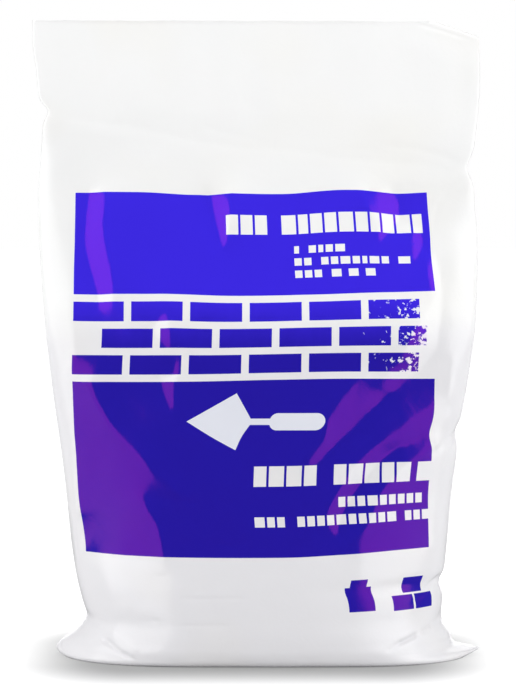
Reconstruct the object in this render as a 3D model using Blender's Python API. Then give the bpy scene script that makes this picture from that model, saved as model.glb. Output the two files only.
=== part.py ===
"""A 3 kg bag of cement: a printed polyethylene film sack, standing upright, with the powder inside it.

Metres, +Z up. The front faces -Y. The origin is on the floor, under the middle of the bag.
"""

import math

import bmesh
import bpy

MM = 0.001

# Driving dimensions of the film tube, in millimetres
FLAT_WIDTH = 220.0      # the empty tube laid flat, from one side fold to the other
FILM = 0.15             # thickness of the film
HEIGHT = 314.0          # from the floor to the cut edge of the mouth
FLAP_DEPTH = 2.2        # the two plies of the empty upper end, with the air between them
MOUTH_DEPTH = 3.0       # the same at the cut edge, where the plies part a little
HEEL_TOP = 30.0         # above this height the full girth of the film is round the powder
CLOSING_FROM = 196.0    # from this height the two plies come together,
CLOSED_AT = 264.0       # and from this one they lie flat
SIDE_WALL = 1.0         # the folded film at the side edges, where both plies turn round
FLOOR_INSET = 1.0       # how much smaller the inside is than the outside where both are level at the bottom

# The powder. Its top slopes down from the left fold to the right one.
GAP = 0.3               # clearance between the powder and the film
SIDE_GAP = 1.0          # the same at the side folds
FILL_LEFT = 263.0       # height of its top at the left fold
FILL_RIGHT = 235.0      # and at the right one
FILL_LAST_ROW = 265.0   # the row of the film up to which it is built before its top is cut

# The crease under the empty flap falls by twice this much from left to right. The tilt of the
# section comes in between the two heights.
TILT = 13.5
TILT_FROM = 150.0
TILT_TO = 240.0

# Side folds, as (height, distance from the middle) in millimetres. They widen upwards to the flat width.
LEFT_FOLD = (
    (0.0, 83.0), (17.0, 83.2), (25.0, 85.2), (30.0, 86.5), (53.0, 90.8), (80.0, 93.4), (107.0, 96.5), (137.0, 100.0),
    (173.0, 103.7), (200.0, 105.8), (228.0, 106.8), (247.0, 105.6), (262.0, 104.8), (277.0, 107.1), (290.0, 108.7),
    (303.0, 110.6), (314.0, 111.0),
)
RIGHT_FOLD = (
    (0.0, 90.0), (18.0, 91.3), (26.0, 92.0), (41.0, 92.7), (62.0, 94.7), (83.0, 96.4), (104.0, 99.1), (122.0, 101.2),
    (140.0, 103.9), (167.0, 107.2), (205.0, 108.7), (228.0, 107.2), (244.0, 106.8), (256.0, 108.1), (270.0, 110.0),
    (290.0, 111.2), (314.0, 111.0),
)
# The welded corners stick out from the side folds as ears: (height, how far)
LEFT_EAR = (
    (0.0, 12.5), (1.5, 15.0), (3.5, 16.3), (6.5, 14.6), (11.0, 9.3), (14.0, 5.6), (17.0, 3.0), (20.0, 0.6),
    (22.0, 0.0),
)
RIGHT_EAR = (
    (0.0, 14.5), (1.5, 14.8), (3.5, 13.2), (5.0, 9.8), (8.0, 6.6), (11.0, 5.6), (14.0, 3.6), (17.0, 1.2),
    (20.0, 0.4), (24.0, 0.0),
)
EAR_REACH = 5.0         # power of the place across with which an ear fades towards the middle
# The end of the bottom weld stands out of the right ear as a small pointed tab: (height, how far)
RIGHT_TAB = ((0.0, 0.0), (1.5, 3.2), (3.5, 7.6), (5.0, 0.6), (8.0, 0.0))
TAB_REACH = 24.0
# Dents where a side fold has buckled: (height, depth, half height of the dent)
LEFT_DENTS = ((269.0, 3.4, 4.0),)
RIGHT_DENTS = ((241.0, 3.0, 6.0), (112.0, 2.4, 6.0), (38.0, 2.2, 4.0))

# The front of the bag on its middle line, as (height, distance in front of the middle)
FRONT_LINE = (
    (0.0, 42.0), (1.5, 45.0), (4.5, 47.2), (9.0, 48.8), (18.0, 49.8), (30.0, 50.0), (60.0, 48.6), (100.0, 45.6),
    (135.0, 42.6), (155.0, 40.2), (168.0, 37.2), (180.0, 33.2), (200.0, 26.4), (225.0, 17.6), (250.0, 9.0),
    (268.0, 3.2), (290.0, -5.0), (314.0, -14.0),
)
# Depth of the bag on its middle line below the top of the heel, as (height, share of the depth there)
HEEL_SHARE = ((0.0, 0.84), (1.5, 0.90), (4.5, 0.945), (9.0, 0.975), (18.0, 0.995), (HEEL_TOP, 1.0))
# Where the side folds lie between the front (0) and the back (1), as (height, share)
FOLD_SHARE = ((0.0, 0.50), (20.0, 0.50), (60.0, 0.48), (165.0, 0.44), (250.0, 0.50), (314.0, 0.50))

# Fullness of the section, as (height, power). 2 is an ellipse, more is flatter in the middle.
LEFT_POWER = (
    (0.0, 4.8), (4.5, 4.4), (12.0, 3.4), (24.0, 2.8), (50.0, 2.6), (110.0, 2.4), (170.0, 2.2), (220.0, 2.6),
    (240.0, 4.0), (268.0, 24.0), (314.0, 40.0),
)
RIGHT_POWER = (
    (0.0, 5.6), (4.5, 5.0), (12.0, 3.6), (24.0, 2.6), (50.0, 2.3), (110.0, 2.2), (170.0, 2.2), (220.0, 2.6),
    (240.0, 4.0), (268.0, 24.0), (314.0, 40.0),
)
# Roundness of the section at the side folds. 2 is round, 1 is a sharp edge.
EDGE_POWER = ((0.0, 2.0), (4.5, 1.5), (12.0, 1.7), (30.0, 2.0), (314.0, 2.0))
# How far the inside stays away from the side folds, where the corners are welded, as (height, distance)
SEAM = ((0.0, 4.0), (4.5, 8.0), (9.0, 5.0), (17.0, 2.0), (24.0, SIDE_WALL), (314.0, SIDE_WALL))

# The right corner of the mouth is turned down behind the flap
CORNER_FROM = 87.0
CORNER_TO = 111.0
CORNER_DROP = 10.0
CORNER_LEVEL = 275.0

# Rows of the mesh, in millimetres above the floor, and points across one ply
ROWS = (
    0.0, 1.5, 3.5, 5.0, 8.0, 11.0, 14.0, 17.0, 20.0, 24.0, 31.0, 38.0, 45.0, 54.0, 66.0, 82.0, 96.0, 106.0, 112.0,
    118.0, 134.0, 148.0, 158.0, 168.0, 178.0, 190.0, 206.0, 221.0, 233.0, 241.0, 249.0, 259.0, 265.0, 269.0, 273.0,
    282.0, 292.0, 303.0, HEIGHT,
)
ACROSS = 26


def smooth_through(points, at):
    """Cubic curve through the points that never overshoots between them (Fritsch and Carlson)."""
    if at <= points[0][0]:
        return points[0][1]
    if at >= points[-1][0]:
        return points[-1][1]
    slopes = [(b[1] - a[1]) / (b[0] - a[0]) for a, b in zip(points, points[1:])]
    tangents = [slopes[0]]
    for before, after in zip(slopes, slopes[1:]):
        tangents.append(0.0 if before * after <= 0 else 2 * before * after / (before + after))
    tangents.append(slopes[-1])
    k = max(i for i in range(len(points) - 1) if points[i][0] <= at)
    (low, start), (high, end) = points[k], points[k + 1]
    span = high - low
    t = (at - low) / span
    return (
        (2 * t**3 - 3 * t**2 + 1) * start
        + (t**3 - 2 * t**2 + t) * span * tangents[k]
        + (3 * t**2 - 2 * t**3) * end
        + (t**3 - t**2) * span * tangents[k + 1]
    )


def ease(low, high, at):
    """0 below low, 1 above high, with a smooth rise between them."""
    t = min(1.0, max(0.0, (at - low) / (high - low)))
    return t * t * (3 - 2 * t)


def fold_at(folds, dents, height):
    """Distance of a side fold from the middle, with its dents."""
    dent = sum(depth * math.exp(-(((height - middle) / half) ** 2)) for middle, depth, half in dents)
    return smooth_through(folds, height) - dent


def ear_at(across, height):
    """How far a corner sticks out at this place across."""
    if across < 0:
        return -smooth_through(LEFT_EAR, height) * abs(across) ** EAR_REACH
    tab = smooth_through(RIGHT_TAB, height) * across**TAB_REACH
    return smooth_through(RIGHT_EAR, height) * across**EAR_REACH + tab


def bulge(across, level):
    """How full one ply is at this place across, from 0 at a side fold to 1 in the middle."""
    power = smooth_through(LEFT_POWER if across < 0 else RIGHT_POWER, level)
    return max(0.0, 1 - abs(across) ** power) ** (1 / smooth_through(EDGE_POWER, level))


def stations():
    """Places across one ply from the left fold (-1) to the right fold (1), closer together at the folds."""
    return [-math.cos(math.pi * i / ACROSS) for i in range(ACROSS + 1)]


def depth_for_girth(level, half_width):
    """Depth at which the film, whose girth is fixed at two flat widths, goes just round the section."""
    share = smooth_through(FOLD_SHARE, level)
    full = [(half_width * t, bulge(t, level)) for t in stations()]
    low, high = 0.0, 2 * FLAT_WIDTH / math.pi
    for _ in range(24):
        depth = (low + high) / 2
        girth = 0.0
        for part in (share, 1 - share):
            ply = [(x, depth * part * y) for x, y in full]
            girth += sum(math.dist(a, b) for a, b in zip(ply, ply[1:]))
        if girth < 2 * FLAT_WIDTH:
            low = depth
        else:
            high = depth
    return low


def depth_at(level):
    """Depth on the middle line: the heel, then the girth rule, then the flat flap."""
    full = max(level, HEEL_TOP)
    half_width = (fold_at(LEFT_FOLD, (), full) + fold_at(RIGHT_FOLD, (), full)) / 2
    round_powder = depth_for_girth(full, half_width) * smooth_through(HEEL_SHARE, level)
    flap = FLAP_DEPTH + (MOUTH_DEPTH - FLAP_DEPTH) * ease(CORNER_LEVEL, HEIGHT, level)
    closing = ease(CLOSING_FROM, CLOSED_AT, level)
    return (1 - closing) * round_powder + closing * flap


def ring_at(height, side_inset=0.0, depth_inset=0.0):
    """One ring of the bag as (x, y, z): the front ply from left to right, then the back ply from right to left."""
    left = fold_at(LEFT_FOLD, LEFT_DENTS, height) - side_inset
    right = fold_at(RIGHT_FOLD, RIGHT_DENTS, height) - side_inset
    front_ply, back_ply = [], []
    for t in stations():
        x = (right - left) / 2 + t * (right + left) / 2 + ear_at(t, height)
        level = height + TILT * t * ease(TILT_FROM, TILT_TO, height)
        front = -smooth_through(FRONT_LINE, level)
        depth = depth_at(level)
        fold = front + depth * smooth_through(FOLD_SHARE, level)
        full = bulge(t, level)
        z = height - CORNER_DROP * ease(CORNER_FROM, CORNER_TO, x) * ease(CORNER_LEVEL, HEIGHT, height)
        front_ply.append((x, fold - (fold - front - depth_inset) * full, z))
        back_ply.append((x, fold + (front + depth - fold - depth_inset) * full, z))
    return front_ply + back_ply[-2:0:-1]


def raised(ring, height):
    """The same ring laid level at another height."""
    return [(x, y, height) for x, y, _ in ring]


def add_wall(mesh, rings):
    """Quads through the rings, facing away from the axis. Returns the first and last loops of vertices."""
    loops = [[mesh.verts.new([c * MM for c in point]) for point in ring] for ring in rings]
    for low, high in zip(loops, loops[1:]):
        for i in range(len(low)):
            j = (i + 1) % len(low)
            mesh.faces.new((low[i], low[j], high[j], high[i]))
    return loops[0], loops[-1]


def made_object(name, mesh, material):
    """An object from the mesh, facing out, round areas shaded smooth."""
    bmesh.ops.recalc_face_normals(mesh, faces=mesh.faces[:])
    data = bpy.data.meshes.new(name)
    mesh.to_mesh(data)
    mesh.free()
    data.materials.append(material)
    data.shade_smooth()
    data.set_sharp_from_angle(angle=math.radians(40))
    made = bpy.data.objects.new(name, data)
    bpy.context.scene.collection.objects.link(made)
    return made


def finish(name, colour, roughness):
    """A Principled material of one colour."""
    material = bpy.data.materials.new(name)
    material.use_nodes = True
    shader = material.node_tree.nodes["Principled BSDF"]
    shader.inputs["Base Color"].default_value = (*colour, 1.0)
    shader.inputs["Roughness"].default_value = roughness
    shader.inputs["Metallic"].default_value = 0.0
    return material


def film_sack():
    """The film: its outer face, its inner face, and the cut edge of the open mouth that joins the two."""
    film = finish("white_polyethylene_film", (0.86, 0.87, 0.88), 0.3)
    mesh = bmesh.new()
    outer_base, outer_mouth = add_wall(mesh, [ring_at(height) for height in ROWS])
    first = raised(ring_at(0.0, smooth_through(SEAM, 0.0), FLOOR_INSET), FILM)
    inner = [first] + [ring_at(height, smooth_through(SEAM, height), FILM) for height in ROWS[1:]]
    inner_base, inner_mouth = add_wall(mesh, inner)
    mesh.faces.new(outer_base)
    mesh.faces.new(inner_base)
    for i in range(len(outer_mouth)):
        j = (i + 1) % len(outer_mouth)
        mesh.faces.new((outer_mouth[i], outer_mouth[j], inner_mouth[j], inner_mouth[i]))
    return made_object("film_sack", mesh, film)


def cement_fill():
    """The powder, a gap inside the film, with a sloping top under the crease of the empty flap."""
    powder = finish("cement_powder", (0.38, 0.38, 0.37), 0.95)
    mesh = bmesh.new()
    clearance = FILM + GAP
    rings = [raised(ring_at(0.0, smooth_through(SEAM, 0.0) + SIDE_GAP, 2 * FLOOR_INSET), clearance)]
    for height in ROWS[1:]:
        if height <= FILL_LAST_ROW:
            rings.append(ring_at(height, smooth_through(SEAM, height) + SIDE_GAP, clearance))
    base, top = add_wall(mesh, rings)
    mesh.faces.new(base)
    mesh.faces.new(top)
    slope = (FILL_LEFT - FILL_RIGHT) / FLAT_WIDTH
    bmesh.ops.bisect_plane(
        mesh,
        geom=mesh.verts[:] + mesh.edges[:] + mesh.faces[:],
        plane_co=(0.0, 0.0, (FILL_LEFT + FILL_RIGHT) / 2 * MM),
        plane_no=(slope, 0.0, 1.0),
        clear_outer=True,
    )
    bmesh.ops.holes_fill(mesh, edges=[edge for edge in mesh.edges if edge.is_boundary])
    return made_object("cement_fill", mesh, powder)


def main():
    for old in list(bpy.data.objects):
        bpy.data.objects.remove(old)
    sack = film_sack()
    fill = cement_fill()
    across = [corner[0] for corner in sack.bound_box]
    along = [corner[1] for corner in sack.bound_box]
    centre = ((min(across) + max(across)) / 2, (min(along) + max(along)) / 2)
    for made in (sack, fill):
        for vertex in made.data.vertices:
            vertex.co.x -= centre[0]
            vertex.co.y -= centre[1]


main()
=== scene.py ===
"""A small bag of cement: a glossy white film sack with a two-panel blue print, standing on its filled bottom.

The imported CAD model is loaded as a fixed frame. The film sack is built again around it as one fine surface,
with the creases, dents, welded corners and print that the solid leaves out. Millimetres in the tables, metres
in the mesh.
"""

import math

import bpy
import numpy as np
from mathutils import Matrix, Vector


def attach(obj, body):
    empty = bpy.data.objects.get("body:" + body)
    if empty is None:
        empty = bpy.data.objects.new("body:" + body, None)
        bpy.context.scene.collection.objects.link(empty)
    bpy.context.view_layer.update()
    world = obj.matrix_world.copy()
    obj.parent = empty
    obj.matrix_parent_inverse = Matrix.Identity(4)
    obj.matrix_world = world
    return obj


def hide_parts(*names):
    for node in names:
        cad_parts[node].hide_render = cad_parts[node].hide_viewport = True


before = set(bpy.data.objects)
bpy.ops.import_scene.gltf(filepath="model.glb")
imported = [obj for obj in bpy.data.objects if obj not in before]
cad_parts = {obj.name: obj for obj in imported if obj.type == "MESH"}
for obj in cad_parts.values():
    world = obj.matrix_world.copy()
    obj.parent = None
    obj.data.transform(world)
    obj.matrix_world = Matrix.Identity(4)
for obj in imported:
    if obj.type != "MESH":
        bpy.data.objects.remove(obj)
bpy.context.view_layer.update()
MM = 0.001


# The film sack: a blown tube of white polyethylene film, 220 mm wide when flat, welded across the bottom,
# filled, and left flat and empty at the top. Its girth can't change, so where the powder makes it deep it is
# narrower.

FLAT_WIDTH = 220.0
HEIGHT = 314.0
HEEL_TOP = 30.0
# The depth of the flat flap, and of the mouth, which opens a little from this height up
FLAP_DEPTH, MOUTH_DEPTH, MOUTH_FROM = 2.2, 3.0, 275.0
# Between these heights the sack closes over the powder's slope
CLOSING_FROM, CLOSED_AT = 196.0, 264.0
# How much lower the sloping crease lies at the right fold than in the middle, and the heights it tilts over
TILT, TILT_FROM, TILT_TO = 13.5, 150.0, 240.0

# Side folds, as (height, distance from the middle)
LEFT_FOLD = (
    (0.0, 83.0), (17.0, 83.2), (25.0, 85.2), (30.0, 86.5), (53.0, 90.8), (80.0, 93.4), (107.0, 96.5),
    (137.0, 100.0), (173.0, 103.7), (200.0, 105.8), (228.0, 106.8), (247.0, 105.6), (262.0, 104.8),
    (277.0, 107.1), (290.0, 108.7), (303.0, 110.6), (314.0, 111.0),
)
RIGHT_FOLD = (
    (0.0, 90.0), (18.0, 91.3), (26.0, 92.0), (41.0, 92.7), (62.0, 94.7), (83.0, 96.4), (104.0, 99.1),
    (122.0, 101.2), (140.0, 103.9), (167.0, 107.2), (205.0, 108.7), (228.0, 107.2), (244.0, 106.8),
    (256.0, 108.1), (270.0, 110.0), (290.0, 111.2), (314.0, 111.0),
)
# Welded corners that stick out from the side folds, as (height, how far)
LEFT_EAR = (
    (0.0, 12.5), (1.5, 15.0), (3.5, 16.3), (6.5, 14.6), (11.0, 9.3), (14.0, 5.6), (17.0, 3.0), (20.0, 0.6),
    (22.0, 0.0),
)
RIGHT_EAR = (
    (0.0, 14.5), (1.5, 14.8), (3.5, 13.2), (5.0, 9.8), (8.0, 6.6), (11.0, 5.6), (14.0, 3.6), (17.0, 1.2),
    (20.0, 0.4), (24.0, 0.0),
)
RIGHT_TAB = ((0.0, 0.0), (1.5, 3.2), (3.5, 7.6), (5.0, 0.6), (8.0, 0.0))
# The powers with which an ear and its tab fade towards the middle of the bag
EAR_REACH, TAB_REACH = 5.0, 24.0
# Dents where a side fold has buckled: (height, depth, half height)
LEFT_DENTS = ((269.0, 3.4, 4.0),)
RIGHT_DENTS = ((241.0, 3.0, 6.0), (112.0, 2.4, 6.0), (38.0, 2.2, 4.0))
# The front on its middle line, as (height, distance in front of the middle)
FRONT_LINE = (
    (0.0, 42.0), (1.5, 45.0), (4.5, 47.2), (9.0, 48.8), (18.0, 49.8), (30.0, 50.0), (60.0, 48.6),
    (100.0, 45.6), (135.0, 42.6), (155.0, 40.2), (168.0, 37.2), (180.0, 33.2), (200.0, 26.4), (225.0, 17.6),
    (250.0, 9.0), (268.0, 3.2), (290.0, -5.0), (314.0, -14.0), (328.0, -19.2),
)
# The depth near the floor as a share of that at the heel's top, and the share of it in front of the folds
HEEL_SHARE = ((0.0, 0.84), (1.5, 0.90), (4.5, 0.945), (9.0, 0.975), (18.0, 0.995), (HEEL_TOP, 1.0))
FOLD_SHARE = ((0.0, 0.50), (20.0, 0.50), (60.0, 0.48), (165.0, 0.44), (250.0, 0.50), (314.0, 0.50))
# Fullness of the section, as (height, power): 2 is an ellipse, more is flatter in the middle
UPPER_POWER = ((170.0, 2.2), (220.0, 2.6), (240.0, 4.0), (268.0, 24.0), (314.0, 40.0))
LEFT_POWER = ((0.0, 4.8), (4.5, 4.4), (12.0, 3.4), (24.0, 2.8), (50.0, 2.6), (110.0, 2.4), *UPPER_POWER)
RIGHT_POWER = ((0.0, 5.6), (4.5, 5.0), (12.0, 3.6), (24.0, 2.6), (50.0, 2.3), (110.0, 2.2), *UPPER_POWER)
# How the section rounds off at its folds, as (height, power)
EDGE_POWER = ((0.0, 2.0), (4.5, 1.5), (12.0, 1.7), (30.0, 2.0), (314.0, 2.0))


def smooth_through(points, at):
    """Piecewise cubic through the points that never overshoots: the slope at each inner point is the harmonic
    mean of the slopes beside it, or level where they differ in sign."""
    x, y = np.array(points).T
    slopes = np.diff(y) / np.diff(x)
    product, total = slopes[:-1] * slopes[1:], slopes[:-1] + slopes[1:]
    inner = np.where(product > 0, 2 * product / np.where(product > 0, total, 1), 0)
    tangents = np.concatenate([slopes[:1], inner, slopes[-1:]])
    at = np.clip(at, x[0], x[-1])
    k = np.clip(np.searchsorted(x, at, side="right") - 1, 0, len(x) - 2)
    span = x[k + 1] - x[k]
    t = (at - x[k]) / span
    return (
        (2 * t**3 - 3 * t**2 + 1) * y[k]
        + (t**3 - 2 * t**2 + t) * span * tangents[k]
        + (3 * t**2 - 2 * t**3) * y[k + 1]
        + (t**3 - t**2) * span * tangents[k + 1]
    )


def ease(low, high, at):
    """0 below low, 1 above high, with a smooth rise between them."""
    t = np.clip((at - low) / (high - low), 0, 1)
    return t * t * (3 - 2 * t)


def fold_at(folds, dents, height):
    """Distance of a side fold from the middle: the curve through its points less a bell for each dent."""
    bells = [depth * np.exp(-(((height - middle) / half) ** 2)) for middle, depth, half in dents]
    return smooth_through(folds, height) - sum(bells)


def ear_at(t, height):
    """How far a corner sticks out: its reach at that height, fading towards the middle as a power of t."""
    reach = np.abs(t)
    left = -smooth_through(LEFT_EAR, height) * reach**EAR_REACH
    right = smooth_through(RIGHT_EAR, height) * reach**EAR_REACH
    return np.where(t < 0, left, right + smooth_through(RIGHT_TAB, height) * reach**TAB_REACH)


def bulge(t, level):
    """Fullness of a ply across its width, a superellipse: (1 - |t|^power)^(1/edge), which is 0 at a fold."""
    power = np.where(t < 0, smooth_through(LEFT_POWER, level), smooth_through(RIGHT_POWER, level))
    return np.maximum(0, 1 - np.abs(t) ** power) ** (1 / smooth_through(EDGE_POWER, level))


# Places across a ply, closest at its folds, and the heights at which its depth is worked out
STATIONS = -np.cos(np.pi * np.arange(401) / 400)
LEVELS = np.arange(0.0, 332.0, 2.0)


def depth_for_girth():
    """The depth at each of LEVELS at which the film goes just round the section, found by halving the
    interval in which the length of both plies passes two flat widths."""
    full = np.maximum(LEVELS, HEEL_TOP)
    half_width = (smooth_through(LEFT_FOLD, full) + smooth_through(RIGHT_FOLD, full)) / 2
    share = smooth_through(FOLD_SHARE, full)
    across = half_width[:, None] * np.diff(STATIONS)
    out = np.diff(bulge(STATIONS[None, :], full[:, None]), axis=1)
    low, high = np.zeros(len(LEVELS)), np.full(len(LEVELS), 2 * FLAT_WIDTH / np.pi)
    for _ in range(24):
        depth = (low + high) / 2
        plies = [np.hypot(across, (depth * part)[:, None] * out).sum(axis=1) for part in (share, 1 - share)]
        girth = sum(plies)
        slack = girth < 2 * FLAT_WIDTH
        low, high = np.where(slack, depth, low), np.where(slack, high, depth)
    return low


GIRTH_DEPTH = depth_for_girth()


def depth_at(level):
    """Depth on the middle line: the girth rule times the heel's share, giving way to the flat flap."""
    round_powder = np.interp(level, LEVELS, GIRTH_DEPTH) * smooth_through(HEEL_SHARE, level)
    flap = FLAP_DEPTH + (MOUTH_DEPTH - FLAP_DEPTH) * ease(MOUTH_FROM, HEIGHT, level)
    closing = ease(CLOSING_FROM, CLOSED_AT, level)
    return (1 - closing) * round_powder + closing * flap


def ply(t, height, side):
    """Points of the front (side -1) or back (side 1) ply. t runs from -1 at the left fold to 1 at the right
    one. The section's level rises with t under the sloping crease, and its depth is shared out on the two
    plies."""
    left = fold_at(LEFT_FOLD, LEFT_DENTS, height)
    right = fold_at(RIGHT_FOLD, RIGHT_DENTS, height)
    x = (right - left) / 2 + t * (right + left) / 2 + ear_at(t, height)
    level = height + TILT * t * ease(TILT_FROM, TILT_TO, height)
    depth = depth_at(level)
    share = smooth_through(FOLD_SHARE, level)
    fold = depth * share - smooth_through(FRONT_LINE, level)
    part = share if side < 0 else 1 - share
    return np.stack([x, fold + side * depth * part * bulge(t, level), height + 0 * t], axis=-1)


def film_points(u, height, side):
    """Points of one ply at film positions u: millimetres of film from the left fold, measured along the
    section, so a column of the mesh is a straight line on the flat film."""
    dense = ply(STATIONS + 0 * height[:, :1], height[:, :1] + 0 * STATIONS, side)
    steps = np.linalg.norm(np.diff(dense, axis=1), axis=2)
    along = np.concatenate([np.zeros((len(height), 1)), np.cumsum(steps, axis=1)], axis=1)
    along *= FLAT_WIDTH / along[:, -1:]
    t = np.array([np.interp(want, have, STATIONS) for want, have in zip(u, along)])
    return ply(t, height, side)


# The mesh is a grid on the flat film. Its columns and rows lie closer at the folds and the heel, and pass
# through the edges of the print, so that printed and bare film meet along them. They are closest at the
# folded corner.
PRINT_LEFT, PRINT_RIGHT = 18.4, 196.0
LOWER_PANEL = (55.0, 139.0)
UPPER_PANEL = (180.0, 229.0)


def spaced(first, *stops):
    """Positions from the first through all stops; each stop is (position, number of equal steps to it)."""
    parts = [np.array([first])]
    for stop, count in stops:
        parts.append(np.linspace(parts[-1][-1], stop, count + 1)[1:])
    return np.concatenate(parts)


FRONT_U = spaced(0.0, (6.0, 10), (PRINT_LEFT, 10), (PRINT_RIGHT, 148), (214.0, 20), (FLAT_WIDTH, 10))
BACK_U = spaced(0.0, (6.0, 7), (190.0, 70), (214.0, 22), (FLAT_WIDTH, 7))
ROWS = spaced(0.0, (12.0, 15), (55.0, 48), (139.0, 70), (180.0, 36), (229.0, 42), (300.0, 46), (HEIGHT, 19))

# How far the print's straight edges have shifted on the filled bag, as (place along the edge, shift)
LEFT_SHIFT = (
    (30.0, -0.4), (55.0, -0.8), (85.0, -2.4), (136.0, -1.8), (187.0, 0.6), (225.0, 2.0), (260.0, 1.0),
)
RIGHT_SHIFT = (
    (30.0, 1.4), (55.0, 2.0), (85.0, 0.8), (120.0, 2.0), (150.0, 0.9), (177.0, 0.3), (200.0, -1.6),
    (230.0, -0.6),
)
LOWER_BASE = ((20.0, -1.3), (60.0, -0.9), (120.0, -0.8), (149.0, 0.2), (180.0, 1.4), (198.0, 1.6))
LOWER_TOP = ((20.0, -1.3), (76.0, -0.6), (120.0, 0.4), (149.0, 0.8), (196.0, 0.0))
UPPER_BASE = ((20.0, -0.1), (60.0, 0.1), (98.0, -0.8), (134.0, -0.3), (163.0, 0.5), (196.0, 1.4))
UPPER_TOP = ((20.0, 0.1), (50.0, 0.1), (77.0, -0.9), (122.0, -0.9), (152.0, 1.0), (182.0, -0.4), (196.0, 0.1))


def between(stops, shifts, at):
    """The shifts that belong to the stops, blended linearly at the places between them."""
    k = np.clip(np.searchsorted(stops, at, side="right") - 1, 0, len(stops) - 2)
    t = (at - stops[k]) / (stops[k + 1] - stops[k])
    low = np.take_along_axis(shifts, k[None], axis=0)[0]
    high = np.take_along_axis(shifts, k[None] + 1, axis=0)[0]
    return (1 - t) * low + t * high


def settled(u, v):
    """Where each place of the flat front lies on the filled bag: the shifts of the print's edges, blended
    between the edges and down to nothing at the folds, the floor and the mouth."""
    across = np.stack([0 * v, smooth_through(LEFT_SHIFT, v), smooth_through(RIGHT_SHIFT, v), 0 * v])
    edges = (LOWER_BASE, LOWER_TOP, UPPER_BASE, UPPER_TOP)
    upwards = np.stack([0 * u, *(smooth_through(edge, u) for edge in edges), 0 * u])
    du = between(np.array([0.0, PRINT_LEFT, PRINT_RIGHT, FLAT_WIDTH]), across, u)
    dv = between(np.array([0.0, *LOWER_PANEL, *UPPER_PANEL, HEIGHT]), upwards, v)
    return u + du, v + dv


# Edges that two flat facets share, on the flat film: two on the left, and four at the lower right
LEFT_EDGE = ((25, 139), (30, 128), (36, 118), (43, 111), (52, 103), (59, 95), (68, 88))
STRIP_EDGE = ((27, 229), (25, 204), (31, 180), (31, 174), (38, 174))
BAND_EDGE = (
    (132, 97), (138, 98), (147, 107), (154, 112), (165, 123), (173, 131), (183, 139), (191, 145), (198, 154),
)
UPPER_EDGE = ((201, 128), (187, 120), (179, 114), (168, 107), (159, 100), (153, 92), (147, 82), (142, 74))
MIDDLE_EDGE = (
    (149, 66), (150, 72), (154, 79), (158, 85), (163, 91), (168, 97), (173, 101), (179, 105), (187, 108),
    (195, 111), (201, 111),
)
LOWER_EDGE = (
    (155, 61), (159, 65), (163, 69), (166, 74), (168, 80), (171, 86), (177, 91), (181, 95), (186, 99),
    (191, 102), (197, 106), (201, 106),
)
# Flat facets that the film has taken between its creases: their outline on the flat film, and the way they
# face, in degrees to the right and degrees up. A later facet lies over an earlier one.
FACETS = (
    # calm bands between the mirrors of the lower right
    ((*BAND_EDGE, (206, 150), (206, 128), *UPPER_EDGE), 2, 3),
    ((*MIDDLE_EDGE[::-1], *LOWER_EDGE), -6, 2),
    # calm film beside the mirrors of the left
    ((*LEFT_EDGE, (80, 92), (68, 104), (58, 114), (48, 124), (40, 139)), -7, 4),
    (((18, 240), (27, 240), *STRIP_EDGE, (41, 160), (40, 141), (18, 141)), -7, 13),
    # mirrors at the top left and in the top middle
    (((27, 230), *STRIP_EDGE, (39, 180), (38, 192), (35, 206), (34, 214), (36, 229), (36, 230)), -27, 14),
    (((86, 230), (92, 203), (94, 203), (97, 214), (98, 230)), -32, 14),
    # lower left, with its foot beside the fold
    (((16, 139), *LEFT_EDGE, (74, 81), (60, 83), (51, 84), (56, 76), (61, 69), (64, 51), (14, 51),
      (13, 85)), -32, 0),
    (((12, 72), (36, 72), (36, 50), (12, 50)), -30, 0),
    # three small ones left of the middle
    (((60, 141), (67, 125), (69, 125), (68, 141)), -29, 5),
    (((64, 171), (55, 163), (67, 153), (67, 165)), -29, 10),
    (((70, 157), (68, 139), (71, 139)), -29, 9),
    # top right, and down the right edge
    (((161, 230), (165, 219), (171, 214), (168, 207), (173, 209), (180, 215), (182, 225),
      (178, 230)), 34, 12),
    (((184, 212), (186, 196), (191, 201), (190, 212)), 27, 14),
    (((191, 199), (194, 184), (199, 181), (198, 197)), 27, 13),
    # lower right: three bands that fan out from the fold, and the first one's upper end
    (((199, 182), (190, 169), (184, 159), (179, 149), (170, 141), (157, 139), (150, 131), (143, 121),
      (144, 111), (134, 103), *BAND_EDGE), 27, 2),
    ((*UPPER_EDGE, *MIDDLE_EDGE), 27, 1),
    ((*LOWER_EDGE[::-1], (160, 56), (201, 56)), 25, 0),
    (((199, 182), (190, 169), (184, 159), (179, 149), (170, 141), (163, 140), (176, 133),
      *BAND_EDGE[6:]), 28, 12),
)
# The step of the relief's grid, how far a facet's edges are rounded, the span beyond which its height is
# pulled back to none, how far beside a side fold the height becomes none, and the width over which it fades
# out at the fold
RELIEF_STEP, FACET_BLUR, FACET_SPAN = 0.8, 0.8, 30.0
BESIDE_FOLD, FOLD_FADE = 10.0, 7.0


def inside(polygon, u, v):
    """True inside the polygon: each edge that a ray to the right of the point crosses flips the answer."""
    corners = np.array(polygon, dtype=float)
    crossed = np.zeros(np.broadcast(u, v).shape, dtype=bool)
    for (x0, y0), (x1, y1) in zip(corners, np.roll(corners, -1, axis=0)):
        if y0 != y1:
            crossed ^= ((y0 > v) != (y1 > v)) & (u < (x1 - x0) * (v - y0) / (y1 - y0) + x0)
    return crossed


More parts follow.
